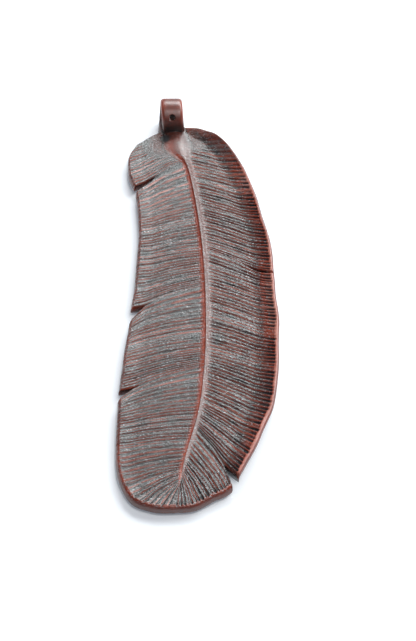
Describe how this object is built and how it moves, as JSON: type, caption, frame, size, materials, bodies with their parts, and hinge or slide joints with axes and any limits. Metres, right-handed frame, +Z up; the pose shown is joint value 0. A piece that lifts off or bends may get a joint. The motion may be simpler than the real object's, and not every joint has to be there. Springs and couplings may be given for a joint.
{
  "type": "feather incense holder",
  "caption": "Feather-shaped glazed ceramic stick-incense holder: a shallow ash tray with incised barbs, a raised shaft and a quill rolled into a pierced loop.",
  "frame": {"origin": "centre of the bounding box, on the surface that the holder rests on", "axes": "+Y along the feather from its tip to its rolled quill, +Z up, +X towards the higher of the two turned-up edges"},
  "size_m": [0.0737, 0.2586, 0.0188],
  "materials": {
    "glaze": "satin iron glaze on fired clay, red-brown on the crests and black in the grooves"
  },
  "bodies": {
    "root": {"feather": "glaze"}
  },
  "joints": []
}
